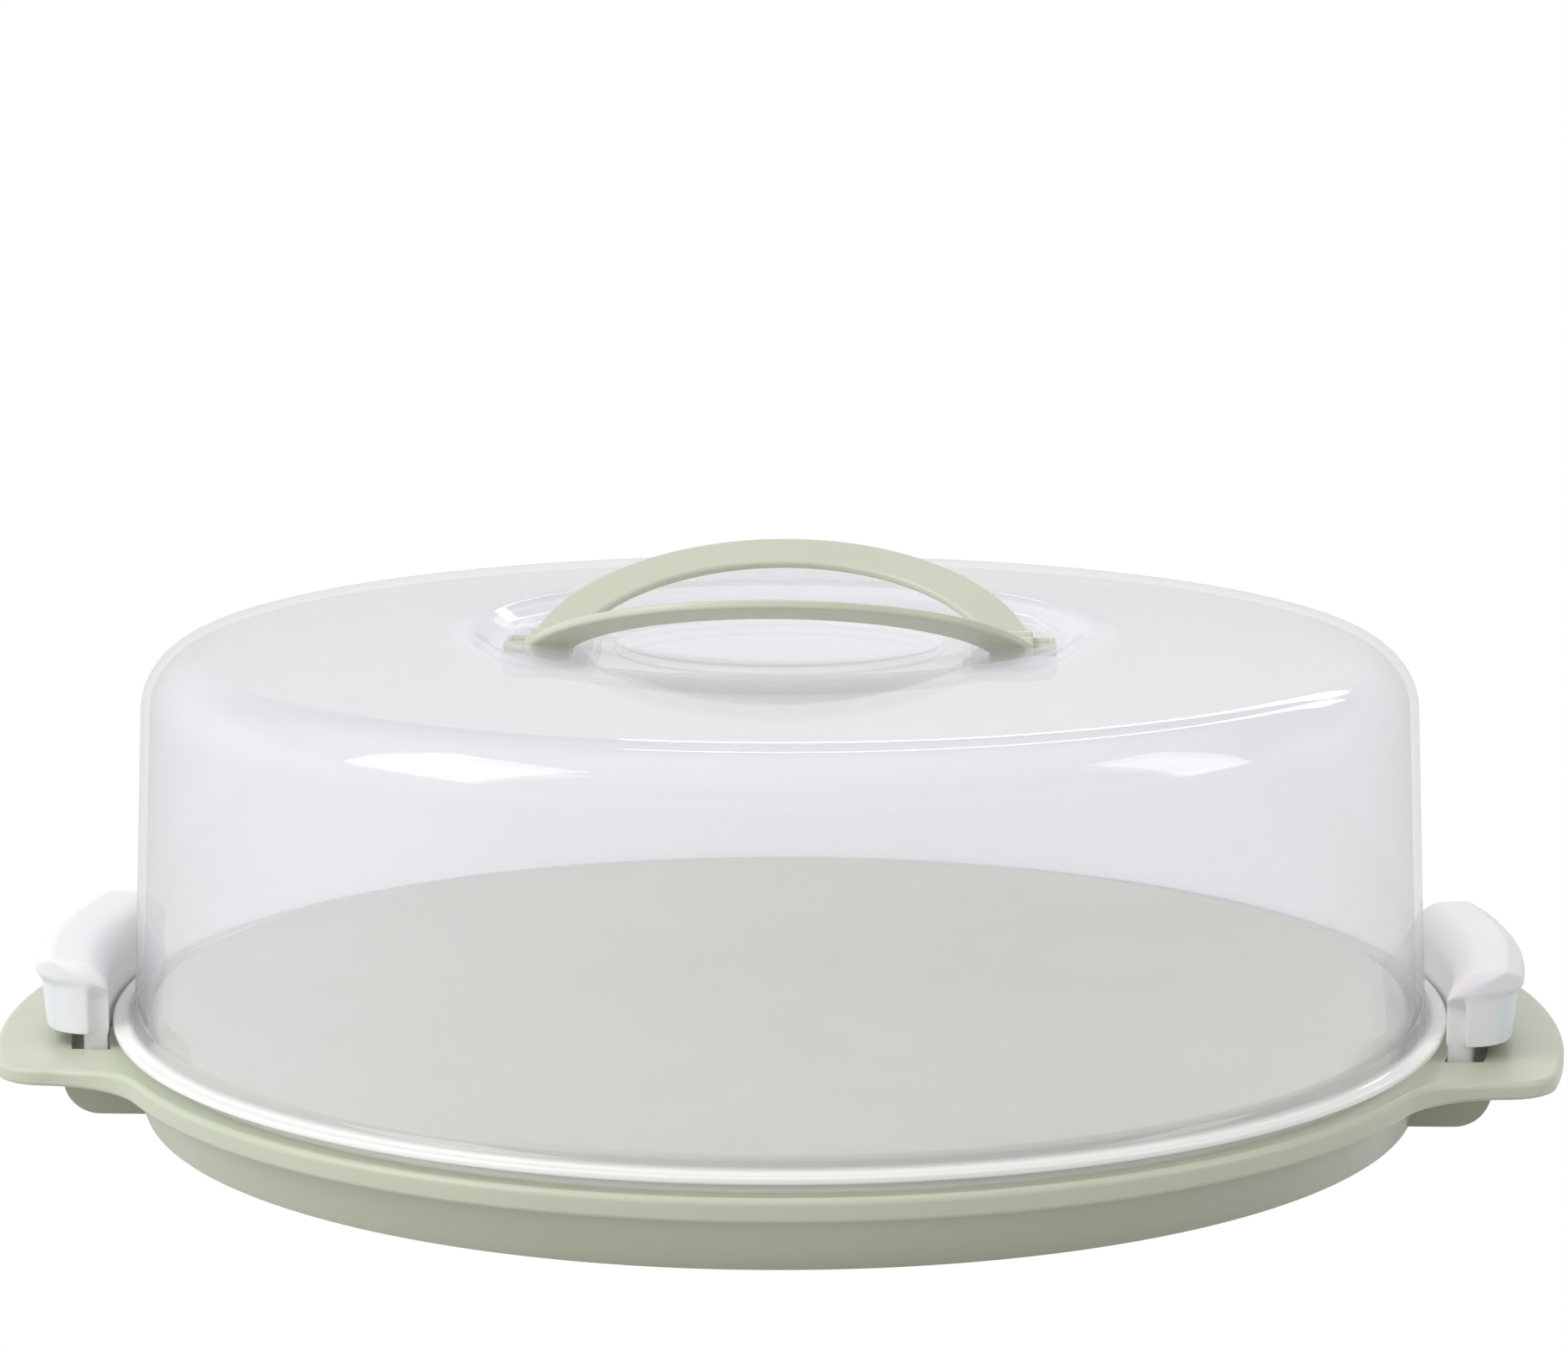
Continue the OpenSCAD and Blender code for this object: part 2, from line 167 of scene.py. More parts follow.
def make_piece(name, bm, body, material, stands_for=(), smooth_angle=35, weighted=True):
    """Turns a bmesh into a finished piece that rides on a body, with smooth shading up to an angle."""
    bmesh.ops.recalc_face_normals(bm, faces=bm.faces[:])
    for edge in bm.edges:
        edge.smooth = not (
            len(edge.link_faces) == 2 and edge.calc_face_angle(0) > math.radians(smooth_angle)
        )
    for face in bm.faces:
        face.smooth = True
    mesh = bpy.data.meshes.new(name)
    bm.to_mesh(mesh)
    bm.free()
    piece = bpy.data.objects.new(name, mesh)
    bpy.context.scene.collection.objects.link(piece)
    mesh.materials.append(material)
    if weighted:
        normals = piece.modifiers.new("flat faces stay flat", "WEIGHTED_NORMAL")
        normals.keep_sharp = True
    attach(piece, body)
    if stands_for:
        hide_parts(*stands_for)
    return piece


def well_outline(bm, grow, z):
    """The rounded outlines of both wells at one height, drawn outwards by grow. Returns their edges."""
    before = set(bm.edges)
    first = set(bm.verts)
    inner, outer = 1.5 * MM + grow, 6 * MM + grow
    x0, x1, half = well_x0 - grow, well_x1 + grow, well_half + grow
    for side in (1, -1):
        corners = [(x0, -half, inner), (x1, -half, outer), (x1, half, outer), (x0, half, inner)]
        rounded_chain(bm, [(side * x, y, radius) for x, y, radius in corners], closed=True, plane="XY")
    for vert in set(bm.verts) - first:
        vert.co.z = z
    return [e for e in bm.edges if e not in before]


def sink_edges(bm, edges, depth):
    """Extrudes closed loops of edges straight down and closes their floors."""
    made = bmesh.ops.extrude_edge_only(bm, edges=edges)["geom"]
    low = [v for v in made if isinstance(v, bmesh.types.BMVert)]
    bmesh.ops.translate(bm, verts=low, vec=(0, 0, -depth))
    floor = [e for e in made if isinstance(e, bmesh.types.BMEdge)]
    bmesh.ops.edgeloop_fill(bm, edges=floor)


def round_creases(bm, at_z, radius, least_angle=50, segments=3, inside=None):
    """Rounds the sharp edges at one height."""
    edges = [
        e for e in bm.edges
        if len(e.link_faces) == 2
        and all(abs(v.co.z - at_z) < 1e-6 for v in e.verts)
        and e.calc_face_angle(0) > math.radians(least_angle)
        and (inside is None or inside(e.verts[0].co))
    ]
    bmesh.ops.bevel(
        bm, geom=edges, affect="EDGES", offset=radius, offset_type="OFFSET",
        segments=segments, profile=0.5, material=-1, clamp_overlap=True,
    )


def in_well(point):
    return abs(point.y) < well_half + 3 * MM and well_x0 - 3 * MM < abs(point.x) < well_x1 + 3 * MM


def make_lid(material):
    """The clear lid: wall, flange, dome, and the recess with its disc and two wells."""
    bm = bmesh.new()
    wall_top_r = lid_r - lid_taper * (crest_z - lid_z)
    top_z = crest_z - dome_slope * (wall_top_r - recess_r)
    recess_foot_r = recess_r - recess_ramp
    flat_r0, flat_r1 = disc_r + 1.6 * MM, recess_foot_r - 1.2 * MM
    under_z = floor_z - lid_wall
    edge, soft, bend = 0.4 * MM, 0.6 * MM, 2.5 * MM
    flange_top = flange_z + flange_t
    rounded_chain(bm, [
        (flat_r1, floor_z, 0),
        (recess_foot_r, floor_z, bend),
        (recess_r, crest_z, bend),
        (wall_top_r, top_z, shoulder_r),
        (lid_r - lid_taper * (flange_top - lid_z), flange_top, 3.6 * MM),
        (flange_r, flange_top, soft),
        (flange_r, flange_z, soft),
        (lid_r - lid_taper * (flange_z - lid_z), flange_z, edge),
        (lid_r, lid_z, edge),
        (lid_r - lid_wall, lid_z, edge),
        (wall_top_r - lid_wall, top_z - lid_wall, shoulder_r - lid_wall),
        (recess_r + disc_ramp, crest_z - lid_wall, bend),
        (recess_foot_r + disc_ramp, under_z, bend),
        (flat_r1, under_z, 0),
    ], segments=10)
    rounded_chain(bm, [
        (0, floor_z - disc_drop, 0),
        (disc_r, floor_z - disc_drop, edge),
        (disc_r + disc_ramp, floor_z, edge),
        (flat_r0, floor_z, 0),
    ])
    rounded_chain(bm, [
        (0, under_z - disc_drop, 0),
        (disc_r + disc_ramp / 2, under_z - disc_drop, edge),
        (disc_r + disc_ramp * 3 / 2, under_z, edge),
        (flat_r0, under_z, 0),
    ])
    turn_chain(bm)
    for z, grow in ((floor_z, 0), (under_z, lid_wall)):
        mouth = well_outline(bm, grow, z)
        bmesh.ops.triangle_fill(bm, use_beauty=True, edges=open_edges(bm, z), normal=(0, 0, 1))
        sink_edges(bm, mouth, floor_z - well_floor_z)
    for z, radius in ((floor_z, 0.5 * MM), (under_z, 0.8 * MM)):
        round_creases(bm, z, radius, inside=in_well)
    for z, radius in ((well_floor_z, 0.8 * MM), (well_floor_z - lid_wall, 1.6 * MM)):
        round_creases(bm, z, radius, inside=in_well)
    return make_piece("clear_lid", bm, "lid", material, ["lid_cover"], smooth_angle=50)


def polar(radius, angle):
    return Vector((radius * math.cos(angle), radius * math.sin(angle), 0))


def tray_turns():
    """The turns that carry a section from the middle of an ear round to the Y axis: centre, angle, steps."""
    corner_dist = ear_r - ear_corner_r
    blend_dist = rim_r + ear_blend_r
    touch = ear_corner_r + ear_blend_r
    cosine = (corner_dist ** 2 + blend_dist ** 2 - touch ** 2) / (2 * corner_dist * blend_dist)
    blend_angle = ear_half_angle + math.acos(cosine)
    corner = polar(corner_dist, ear_half_angle)
    blend = polar(blend_dist, blend_angle)
    to_blend = blend - corner
    touch_angle = math.atan2(to_blend.y, to_blend.x)
    return [
        (Vector(), ear_half_angle, 10),
        (corner, touch_angle - ear_half_angle, 16),
        (blend, blend_angle - touch_angle, 16),
        (Vector(), math.pi / 2 - blend_angle, RIM_STEPS),
    ]


def ring_loop(bm, side, r0, r1, half, z, steps=24):
    """Vertices round the part of a ring that lies within half of the X axis, at one height."""
    loop = []
    for radius, turn in ((r1, 1), (r0, -1)):
        reach = math.asin(half / radius)
        loop += [polar(radius, turn * reach * (2 * i / steps - 1)) for i in range(steps + 1)]
    return [bm.verts.new((side * point.x, point.y, z)) for point in loop]


def skin(bm, loops):
    """Faces between loops that have the same count of vertices. Returns the edges of both end loops."""
    for high, low in zip(loops, loops[1:]):
        for k in range(len(high)):
            bm.faces.new((high[k - 1], high[k], low[k], low[k - 1]))
    return [
        [bm.edges.get((loop[k - 1], loop[k])) for k in range(len(loop))]
        for loop in (loops[0], loops[-1])
    ]


def corner_steps(r1, floor, radius, count=10):
    """The heights and radii of a corner that rounds from a ring's outer wall into its floor."""
    for k in range(count + 1):
        angle = math.pi / 2 * k / count
        yield floor + radius * (1 - math.sin(angle)), r1 - radius * (1 - math.cos(angle))


def add_slot(bm, side):
    """The slot for a clip's leg, with the room for its hub below."""
    room_r = slot_r0 - hub_room
    loops = [
        ring_loop(bm, side, slot_r0, slot_r1, slot_half, ledge_z),
        ring_loop(bm, side, slot_r0, slot_r1, slot_half, band_z),
        ring_loop(bm, side, room_r, slot_r1, slot_half, band_z),
    ]
    for z, r in corner_steps(slot_r1, pod_floor_z + tray_wall, pod_corner_r - tray_wall):
        loops.append(ring_loop(bm, side, room_r, r, slot_half, z))
    floor = skin(bm, loops)[1]
    bmesh.ops.edgeloop_fill(bm, edges=floor)


def add_pod(bm, side):
    """The pod under an ear, as a closed shell of its own that follows the rim."""
    before = set(bm.verts)
    cut_z = ledge_z - tray_wall + 0.4 * MM
    slope = (skirt_r - foot_r) / band_z
    sections = [(cut_z, slot_r1 + tray_wall), *corner_steps(slot_r1 + tray_wall, pod_floor_z, pod_corner_r)]
    loops = [
        ring_loop(bm, side, foot_r + slope * min(z, band_z) - tray_wall / 2, r, pod_half, z)
        for z, r in sections
    ]
    top, floor = skin(bm, loops)
    for edges in (top, floor):
        bmesh.ops.edgeloop_fill(bm, edges=edges)
    new = {e for v in bm.verts if v not in before for e in v.link_edges}
    bmesh.ops.recalc_face_normals(bm, faces=list({f for e in new for f in e.link_faces}))
    ends = [
        e for e in new
        if all(abs(abs(v.co.y) - pod_half) < 1e-6 for v in e.verts)
        and e.calc_face_angle(0) > 1 and min(v.co.z for v in e.verts) < cut_z - 1e-5
    ]
    bmesh.ops.bevel(
        bm, geom=ends, affect="EDGES", offset=1 * MM, offset_type="OFFSET",
        segments=4, profile=0.5, material=-1, clamp_overlap=True,
    )


def add_rib(bm, angle):
    reach = plate_r - tray_wall / 2
    middle = Vector(((rib_start_r + reach) / 2, 0, plate_z - tray_wall - rib_depth / 2 + 0.2 * MM))
    size = Vector((reach - rib_start_r, rib_t, rib_depth + 0.4 * MM))
    matrix = Matrix.Rotation(angle, 4, "Z") @ Matrix.Translation(middle) @ Matrix.Diagonal((*size, 1))
    bmesh.ops.create_cube(bm, size=1, matrix=matrix)


def fade_crest(bm, inset):
    """Lets the rim's crest run out on the ears, whose tops are flat up to a soft edge."""
    for vert in bm.verts:
        if vert.co.z < rim_z - 1.5 * MM:
            continue
        share = min(max((vert.co.xy.length + vert[inset] - rim_r - 1 * MM) / crest_fade, 0), 1)
        lowered = vert.co.z - (rim_z - ledge_z) * share ** 2 * (3 - 2 * share)
        vert.co.z = max(lowered, ledge_z) if vert[inset] > tray_wall / 2 else lowered
    bmesh.ops.dissolve_degenerate(bm, edges=bm.edges[:], dist=1e-6)


def make_tray(material):
    """The sage tray: rim band with two ears, ledge, cake plate, skirt and foot, slots, pods and ribs."""
    bm = bmesh.new()
    under_z = ledge_z - tray_wall
    inset = bm.verts.layers.float.new("inset from the outline")
    rounded_chain(bm, [
        (ear_r - 3.2 * MM, under_z, 0),
        (ear_r - tray_wall, under_z, 0.5 * MM),
        (ear_r - tray_wall, band_z, 0.5 * MM),
        (ear_r, band_z, 0.9 * MM),
        (ear_r, rim_z, 1.4 * MM),
        (ear_r - tray_wall, rim_z, 0.5 * MM),
        (ear_r - tray_wall, ledge_z, 0.4 * MM),
        (ear_r - 3.2 * MM, ledge_z, 0),
    ])
    for vert in bm.verts:
        vert[inset] = ear_r - vert.co.x
    section = bm.verts[:] + bm.edges[:]
    for centre, angle, steps in tray_turns():
        section = bmesh.ops.spin(
            bm, geom=section, cent=centre, axis=Z_AXIS, angle=angle, steps=steps
        )["geom_last"]
    for axis in "YX":
        bmesh.ops.mirror(bm, geom=bm.verts[:] + bm.edges[:] + bm.faces[:], axis=axis, merge_dist=1e-6)
    fade_crest(bm, inset)
    before = set(bm.verts)
    rounded_chain(bm, [
        (0, plate_z, 0),
        (plate_r, plate_z, 1.4 * MM),
        (plate_r, ledge_z, 0.6 * MM),
        (plate_r + 1.6 * MM, ledge_z, 0),
    ])
    rounded_chain(bm, [
        (skirt_r + 0.1 * MM, under_z, 0),
        (foot_r, 0, 0.6 * MM),
        (foot_r - tray_wall, 0, 0),
        (skirt_r - tray_wall, under_z, 0.6 * MM),
        (plate_r - tray_wall, under_z, 0.6 * MM),
        (plate_r - tray_wall, plate_z - tray_wall, 0.6 * MM),
        (0, plate_z - tray_wall, 0),
    ])
    turn_chain(bm)
    for side in (1, -1):
        add_slot(bm, side)
    for z in (ledge_z, under_z):
        bmesh.ops.triangle_fill(bm, use_beauty=True, edges=open_edges(bm, z), normal=(0, 0, 1))
    for side in (1, -1):
        add_pod(bm, side)
    for i in range(rib_count):
        add_rib(bm, math.tau * (i + 0.5) / rib_count)
    return make_piece("tray", bm, "tray", material, ["base_tray"], smooth_angle=40)


def bow_arc(bm, half, rise, steps):
    """An arc of edges over the X axis, from (half, 0) to (-half, 0) through (0, rise)."""
    radius = (half ** 2 + rise ** 2) / (2 * rise)
    centre = Vector((0, rise - radius, 0))
    start = math.atan2(radius - rise, half)
    vert = bm.verts.new((half, 0, 0))
    before = set(bm.edges)
    bmesh.ops.spin(
        bm, geom=[vert], cent=centre, axis=Z_AXIS, angle=math.pi - 2 * start, steps=steps
    )
    return [e for e in bm.edges if e not in before]


def add_rod(bm, x0, x1, radius, edge):
    """A round rod along the X axis with rounded ends, and its mirror image."""
    for side in (1, -1):
        known = set(bm.verts)
        matrix = Matrix.Translation((side * (x0 + x1) / 2, 0, 0)) @ Matrix.Rotation(math.pi / 2, 4, "Y")
        bmesh.ops.create_cone(
            bm, cap_ends=True, segments=40, radius1=radius, radius2=radius, depth=x1 - x0, matrix=matrix
        )
        new = [v for v in bm.verts if v not in known]
        ends = [e for e in {e for v in new for e in v.link_edges} if e.calc_face_angle(0) > 1]
        bmesh.ops.bevel(
            bm, geom=ends, affect="EDGES", offset=edge, offset_type="OFFSET",
            segments=3, profile=0.5, material=-1, clamp_overlap=True,
        )


def make_handle(name, body, node, side, material):
    """A flat bow with rounded edges, two hubs and two stub pins, turned up from the wells."""
    bm = bmesh.new()
    inner_half, inner_rise = handle_half - handle_end_w, handle_rise - handle_w
    arcs = bow_arc(bm, handle_half, handle_rise, 72) + bow_arc(bm, inner_half, inner_rise, 72)
    bmesh.ops.bridge_loops(bm, edges=arcs)
    top = bmesh.ops.extrude_face_region(bm, geom=bm.faces[:])["geom"]
    bmesh.ops.translate(
        bm, verts=[v for v in top if isinstance(v, bmesh.types.BMVert)], vec=(0, 0, handle_t)
    )
    bmesh.ops.translate(bm, verts=bm.verts[:], vec=(0, 0, -handle_t / 2))
    bmesh.ops.recalc_face_normals(bm, faces=bm.faces[:])
    sharp = [e for e in bm.edges if e.calc_face_angle(0) > 1]
    bmesh.ops.bevel(
        bm, geom=sharp, affect="EDGES", offset=0.8 * MM, offset_type="OFFSET",
        segments=4, profile=0.5, material=-1, clamp_overlap=True,
    )
    add_rod(bm, inner_half, handle_half, hub_r, 0.6 * MM)
    add_rod(bm, handle_half - 1 * MM, well_x1 + 1.7 * MM, handle_pin_r, 0.3 * MM)
    place = (
        Matrix.Diagonal((1, side, 1, 1))
        @ Matrix.Translation((0, handle_offset, handle_z))
        @ Matrix.Rotation(handle_rest, 4, "X")
    )
    bmesh.ops.transform(bm, matrix=place, verts=bm.verts[:])
    return make_piece(name, bm, body, material, [node], smooth_angle=60)


def pull_in(u, v, radius):
    """Moves a point that lies outside a rounded corner, given from the corner's centre, onto its curve."""
    reach = math.hypot(u, v)
    if min(u, v) <= 0 or reach <= radius:
        return u, v
    return u * radius / reach, v * radius / reach


def round_end(point):
    """Rounds a clip's end where it meets the top and the flap."""
    r, y = point.xy.length, abs(point.y)
    curl = max(head_corner_at - r, 0)
    top = clip_top_z - head_corner_r + math.sqrt(max(head_corner_r ** 2 - curl ** 2, 0))
    u, v = pull_in(y - clip_half + end_top_r, point.z - top + end_top_r, end_top_r)
    y, z = u + clip_half - end_top_r, v + top - end_top_r
    corner = flap_radius(z) - end_plan_r
    u, v = pull_in(y - clip_half + end_plan_r, r - corner, end_plan_r)
    y, r = u + clip_half - end_plan_r, v + corner
    x = math.sqrt(r ** 2 - y ** 2)
    return Vector((math.copysign(x, point.x), math.copysign(y, point.y), z))


def flap_radius(z):
    """The outer radius of a clip's flap or head at a height."""
    if z < neck_z:
        return flap_low_r + (neck_r - flap_low_r) * max(z - flap_low_z, 0) / (neck_z - flap_low_z)
    return neck_r + (head_r - neck_r) * min((z - neck_z) / (head_z - neck_z), 1)


def meshed(form):
    """The mesh of an object with its modifiers applied, as a bmesh. The object is removed."""
    mesh = bpy.data.meshes.new_from_object(form.evaluated_get(bpy.context.evaluated_depsgraph_get()))
    bpy.data.objects.remove(form)
    bm = bmesh.new()
    bm.from_mesh(mesh)
    bpy.data.meshes.remove(mesh)
    return bm


def as_form(bm, name):
    """A bmesh as a plain object in the scene, for modifiers."""
    mesh = bpy.data.meshes.new(name)
    bm.to_mesh(mesh)
    bm.free()
    form = bpy.data.objects.new(name, mesh)
    bpy.context.scene.collection.objects.link(form)
    return form


def make_clip(name, body, node, material):
    """A frosted clip: the hinged form with its ends rounded over and every moulded edge softened."""
    bm = bmesh.new()
    bm.from_mesh(frame["nodes"][node].data)
    bmesh.ops.remove_doubles(bm, verts=bm.verts[:], dist=1e-6)
    form = as_form(bm, name + "_form")
    fine = form.modifiers.new("fine", "REMESH")
    fine.mode = "VOXEL"
    fine.voxel_size = voxel
    bm = meshed(form)
    for vert in bm.verts:
        if vert.co.z > ledge_z + 1 * MM and vert.co.xy.length > slot_r0 - 1 * MM:
            vert.co = round_end(vert.co)
    form = as_form(bm, name + "_form")
    soften = form.modifiers.new("soften", "SMOOTH")
    soften.factor = 0.5
    soften.iterations = 10
    bm = meshed(form)
    return make_piece(name, bm, body, material, [node], smooth_angle=180, weighted=False)


def group_socket(tree, name, kind, out=False, value=None):
    """A named input or output of a node group."""
    socket = tree.interface.new_socket(
        name=name, in_out="OUTPUT" if out else "INPUT", socket_type="NodeSocket" + kind
    )
    if value is not None:
        socket.default_value = value
    return socket


def moulded_surface_group():
    """What every moulding here shares: faint shade drift, uneven gloss and the fine texture of the mould."""
    tree = bpy.data.node_groups.new("moulded surface", "ShaderNodeTree")
    group_socket(tree, "Colour", "Color")
    group_socket(tree, "Drift", "Float", value=0.03)
    group_socket(tree, "Gloss low", "Float", value=0.3)
    group_socket(tree, "Gloss high", "Float", value=0.4)
    group_socket(tree, "Grain per metre", "Float", value=2500)
    group_socket(tree, "Colour", "Color", out=True)
    group_socket(tree, "Roughness", "Float", out=True)
    group_socket(tree, "Height", "Float", out=True)
    nodes, links = tree.nodes, tree.links
    given = nodes.new("NodeGroupInput")
    put = nodes.new("NodeGroupOutput")
    place = nodes.new("ShaderNodeTexCoord")

    broad = nodes.new("ShaderNodeTexNoise")
    broad.inputs["Scale"].default_value = 14
    broad.inputs["Detail"].default_value = 3
    links.new(place.outputs["Object"], broad.inputs["Vector"])
    shade = nodes.new("ShaderNodeMapRange")
    shade.inputs["From Min"].default_value = 0.3
    shade.inputs["From Max"].default_value = 0.7
    low = nodes.new("ShaderNodeMath")
    low.operation = "SUBTRACT"
    low.inputs[0].default_value = 1
    links.new(given.outputs["Drift"], low.inputs[1])
    links.new(broad.outputs["Fac"], shade.inputs["Value"])
    links.new(low.outputs["Value"], shade.inputs["To Min"])
    shade.inputs["To Max"].default_value = 1
    tint = nodes.new("ShaderNodeVectorMath")
    tint.operation = "SCALE"
    links.new(given.outputs["Colour"], tint.inputs[0])
    links.new(shade.outputs["Result"], tint.inputs["Scale"])
    links.new(tint.outputs["Vector"], put.inputs["Colour"])

    patches = nodes.new("ShaderNodeTexNoise")
    patches.inputs["Scale"].default_value = 55
    patches.inputs["Detail"].default_value = 5
    links.new(place.outputs["Object"], patches.inputs["Vector"])
    gloss = nodes.new("ShaderNodeMapRange")
    gloss.inputs["From Min"].default_value = 0.3
    gloss.inputs["From Max"].default_value = 0.7
    links.new(patches.outputs["Fac"], gloss.inputs["Value"])
    links.new(given.outputs["Gloss low"], gloss.inputs["To Min"])
    links.new(given.outputs["Gloss high"], gloss.inputs["To Max"])
    links.new(gloss.outputs["Result"], put.inputs["Roughness"])

    grain = nodes.new("ShaderNodeTexNoise")
    grain.inputs["Detail"].default_value = 2
    links.new(place.outputs["Object"], grain.inputs["Vector"])
    links.new(given.outputs["Grain per metre"], grain.inputs["Scale"])
    links.new(grain.outputs["Fac"], put.inputs["Height"])
    return tree


def moulded(name, group, colour, drift, gloss, grain, grain_height, **shader_values):
    """A moulded plastic. shader_values are plain numbers on the shader's own sockets."""
    material = bpy.data.materials.new(name)
    material.use_nodes = True
    nodes, links = material.node_tree.nodes, material.node_tree.links
    shader = nodes["Principled BSDF"]
    surface = nodes.new("ShaderNodeGroup")
    surface.node_tree = group
    surface.inputs["Colour"].default_value = (*colour, 1)
    surface.inputs["Drift"].default_value = drift
    surface.inputs["Gloss low"].default_value = gloss[0]
    surface.inputs["Gloss high"].default_value = gloss[1]
    surface.inputs["Grain per metre"].default_value = grain
    links.new(surface.outputs["Colour"], shader.inputs["Base Color"])
    links.new(surface.outputs["Roughness"], shader.inputs["Roughness"])
    bump = nodes.new("ShaderNodeBump")
    bump.inputs["Strength"].default_value = 1
    bump.inputs["Distance"].default_value = grain_height
    links.new(surface.outputs["Height"], bump.inputs["Height"])
    links.new(bump.outputs["Normal"], shader.inputs["Normal"])
    for socket, value in shader_values.items():
        shader.inputs[socket.replace("_", " ").title().replace("Ior", "IOR")].default_value = value
    return material


def ramp(tree, value, low, high, to_low=0.0, to_high=1.0):
    """A smooth step of a value between two limits."""
    step = tree.nodes.new("ShaderNodeMapRange")
    step.interpolation_type = "SMOOTHSTEP"
    tree.links.new(value, step.inputs["Value"])
    for name, number in (("From Min", low), ("From Max", high), ("To Min", to_low), ("To Max", to_high)):
        step.inputs[name].default_value = number
    return step.outputs["Result"]


def radius_from_axis(tree):
    """The distance from the lid's axis, from the Object coordinates."""
    place = tree.nodes.new("ShaderNodeTexCoord")
    flat = tree.nodes.new("ShaderNodeVectorMath")
    flat.operation = "MULTIPLY"
    flat.inputs[1].default_value = (1, 1, 0)
    tree.links.new(place.outputs["Object"], flat.inputs[0])
    length = tree.nodes.new("ShaderNodeVectorMath")
    length.operation = "LENGTH"
    tree.links.new(flat.outputs["Vector"], length.inputs[0])
    return length.outputs["Value"]


def clear_plastic(group):
    """The lid's clear plastic: a faint milky body, with a full gloss over it that grows towards grazing, and
    a flange painted near white and nearly opaque as a painted highlight.
    """
    material = moulded(
        "clear lid plastic", group, (0.86, 0.84, 0.94), 0.02, (0.18, 0.24), 1800, 0.002 * MM
    )
    tree = material.node_tree
    nodes, links = tree.nodes, tree.links
    shader = nodes["Principled BSDF"]
    radius = radius_from_axis(tree)
    # Painted highlight: past the wall the flange turns nearly opaque and near white, standing in for the
    # bright band that light puts along its edge.
    wall_edge, flange_start = lid_r + 0.3 * MM, lid_r + 2.2 * MM
    links.new(ramp(tree, radius, wall_edge, flange_start, 0.19, 0.85), shader.inputs["Alpha"])
    flange_highlight_paint = nodes.new("ShaderNodeMix")
    flange_highlight_paint.data_type = "RGBA"
    links.new(ramp(tree, radius, wall_edge, flange_start), flange_highlight_paint.inputs["Factor"])
    links.new(shader.inputs["Base Color"].links[0].from_socket, flange_highlight_paint.inputs["A"])
    flange_highlight_paint.inputs["B"].default_value = (0.97, 0.98, 0.94, 1)
    links.new(flange_highlight_paint.outputs["Result"], shader.inputs["Base Color"])
    shader.inputs["Specular IOR Level"].default_value = 0
    facing = nodes.new("ShaderNodeLayerWeight")
    facing.inputs["Blend"].default_value = 0.5
    steep = nodes.new("ShaderNodeMath")
    steep.operation = "POWER"
    steep.inputs[1].default_value = 4
    links.new(facing.outputs["Facing"], steep.inputs[0])
    share = nodes.new("ShaderNodeMapRange")
    share.inputs["To Min"].default_value = 0.035
    share.inputs["To Max"].default_value = 0.8
    links.new(steep.outputs["Value"], share.inputs["Value"])
    calm = nodes.new("ShaderNodeMath")
    calm.operation = "MULTIPLY"
    links.new(share.outputs["Result"], calm.inputs[0])
    links.new(ramp(tree, radius, recess_r + 2 * MM, recess_r + 8 * MM, 0.45, 1), calm.inputs[1])
    gloss = nodes.new("ShaderNodeBsdfGlossy")
    gloss.inputs["Roughness"].default_value = 0.05
    mix = nodes.new("ShaderNodeMixShader")
    links.new(calm.outputs["Value"], mix.inputs["Fac"])
    links.new(shader.outputs["BSDF"], mix.inputs[1])
    links.new(gloss.outputs["BSDF"], mix.inputs[2])
    ray = nodes.new("ShaderNodeLightPath")
    through = nodes.new("ShaderNodeBsdfTransparent")
    shade = nodes.new("ShaderNodeMath")
    shade.operation = "MULTIPLY"
    shade.inputs[1].default_value = 0.7
    links.new(ray.outputs["Is Shadow Ray"], shade.inputs[0])
    lit = nodes.new("ShaderNodeMixShader")
    links.new(shade.outputs["Value"], lit.inputs["Fac"])
    links.new(mix.outputs["Shader"], lit.inputs[1])
    links.new(through.outputs["BSDF"], lit.inputs[2])
    links.new(lit.outputs["Shader"], nodes["Material Output"].inputs["Surface"])
    return material


def make_camera():
    """The photograph's view: from the front, a little right of the middle and about ten degrees above."""
    data = bpy.data.cameras.new("camera")
    data.sensor_width = 36
    data.lens = 101.85
    data.clip_start = 0.05
    camera = bpy.data.objects.new("camera", data)
    bpy.context.scene.collection.objects.link(camera)
    camera.location = (0.0393, -1.0218, 0.2715)
    turn, down = math.radians(-2.15), math.radians(9.597)
    ahead = Vector((math.sin(turn) * math.cos(down), math.cos(turn) * math.cos(down), -math.sin(down)))
    camera.rotation_euler = ahead.to_track_quat("-Z", "Y").to_euler()
    bpy.context.scene.camera = camera


def add_softbox(name, place, aim, size, power, colour=(1, 1, 1)):
    data = bpy.data.lights.new(name, "AREA")
    data.shape = "RECTANGLE"
    data.size, data.size_y = size
    data.energy = power
    data.color = colour
    lamp = bpy.data.objects.new(name, data)
    bpy.context.scene.collection.objects.link(lamp)
    lamp.location = place
    lamp.rotation_euler = (Vector(aim) - Vector(place)).to_track_quat("-Z", "Y").to_euler()


def direction_parts(tree):
    """The x, y and z of the direction that a ray to the world takes."""
    place = tree.nodes.new("ShaderNodeTexCoord")
    parts = tree.nodes.new("ShaderNodeSeparateXYZ")
    tree.links.new(place.outputs["Generated"], parts.inputs["Vector"])
    return parts


